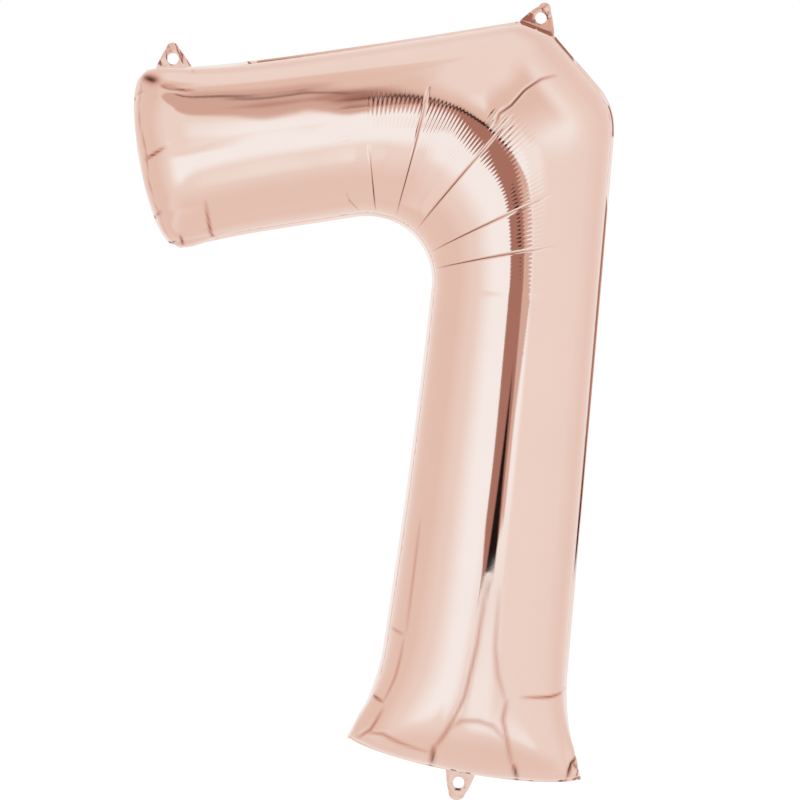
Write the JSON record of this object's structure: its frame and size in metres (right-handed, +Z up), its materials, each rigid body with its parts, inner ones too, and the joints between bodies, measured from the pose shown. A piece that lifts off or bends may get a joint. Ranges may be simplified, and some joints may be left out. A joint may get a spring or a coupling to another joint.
{
  "type": "foil number balloon",
  "caption": "Inflated figure-7 foil balloon with punched hang tabs and a filling tab, each on a living hinge, and a flat self-closing valve.",
  "frame": {"origin": "centre of the punched hole in the right hang tab, in the weld plane", "axes": "+Z up as the balloon hangs in the picture, the weld lies in the XZ plane, the front faces -Y"},
  "size_m": [0.5473, 0.2156, 0.907],
  "materials": {
    "foil": "mirror-bright metallised film, rose gold",
    "tab_foil": "the same film in two welded plies, crinkled",
    "valve_film": "clear polyethylene film"
  },
  "bodies": {
    "envelope": {"front_panel": "foil", "back_panel": "foil", "valve_throat_front": "valve_film", "valve_throat_back": "valve_film"},
    "left_hang_tab": {"left_hang_tab_front_ply": "tab_foil", "left_hang_tab_back_ply": "tab_foil"},
    "right_hang_tab": {"right_hang_tab_front_ply": "tab_foil", "right_hang_tab_back_ply": "tab_foil"},
    "filling_tab": {"filling_tab_front_ply": "tab_foil", "filling_tab_back_ply": "tab_foil", "valve_mouth_front": "valve_film", "valve_mouth_back": "valve_film"},
    "back_lip": {"valve_lip_back": "valve_film"},
    "front_lip": {"valve_lip_front": "valve_film"}
  },
  "joints": [
    {"name": "left_hang_tab_fold", "type": "hinge", "parent": "envelope", "child": "left_hang_tab", "pos_m": [-0.41773, 0, -0.05632], "axis": [0.9982, 0, 0.0593], "range_deg": [-75, 75], "stiffness_Nm_per_rad": 0.0003},
    {"name": "right_hang_tab_fold", "type": "hinge", "parent": "envelope", "child": "right_hang_tab", "pos_m": [-0.00371, 0, -0.00918], "axis": [0.9272, 0, -0.3746], "range_deg": [-75, 75], "stiffness_Nm_per_rad": 0.0003},
    {"name": "filling_tab_fold", "type": "hinge", "parent": "envelope", "child": "filling_tab", "pos_m": [-0.09192, 0, -0.85938], "axis": [-0.9834, 0, 0.1816], "range_deg": [-75, 75], "stiffness_Nm_per_rad": 0.0003},
    {"name": "back_lip_parting", "type": "hinge", "parent": "envelope", "child": "back_lip", "pos_m": [-0.09069, 0, -0.85269], "axis": [-0.9834, 0, 0.1816], "range_deg": [0, 8], "stiffness_Nm_per_rad": 0.0003},
    {"name": "front_lip_parting", "type": "hinge", "parent": "envelope", "child": "front_lip", "pos_m": [-0.09069, 0, -0.85269], "axis": [-0.9834, 0, 0.1816], "range_deg": [-8, 0], "stiffness_Nm_per_rad": 0.0003}
  ],
  "couplings": [
    {"joint": "front_lip_parting", "follows": "back_lip_parting", "ratio": -1}
  ]
}
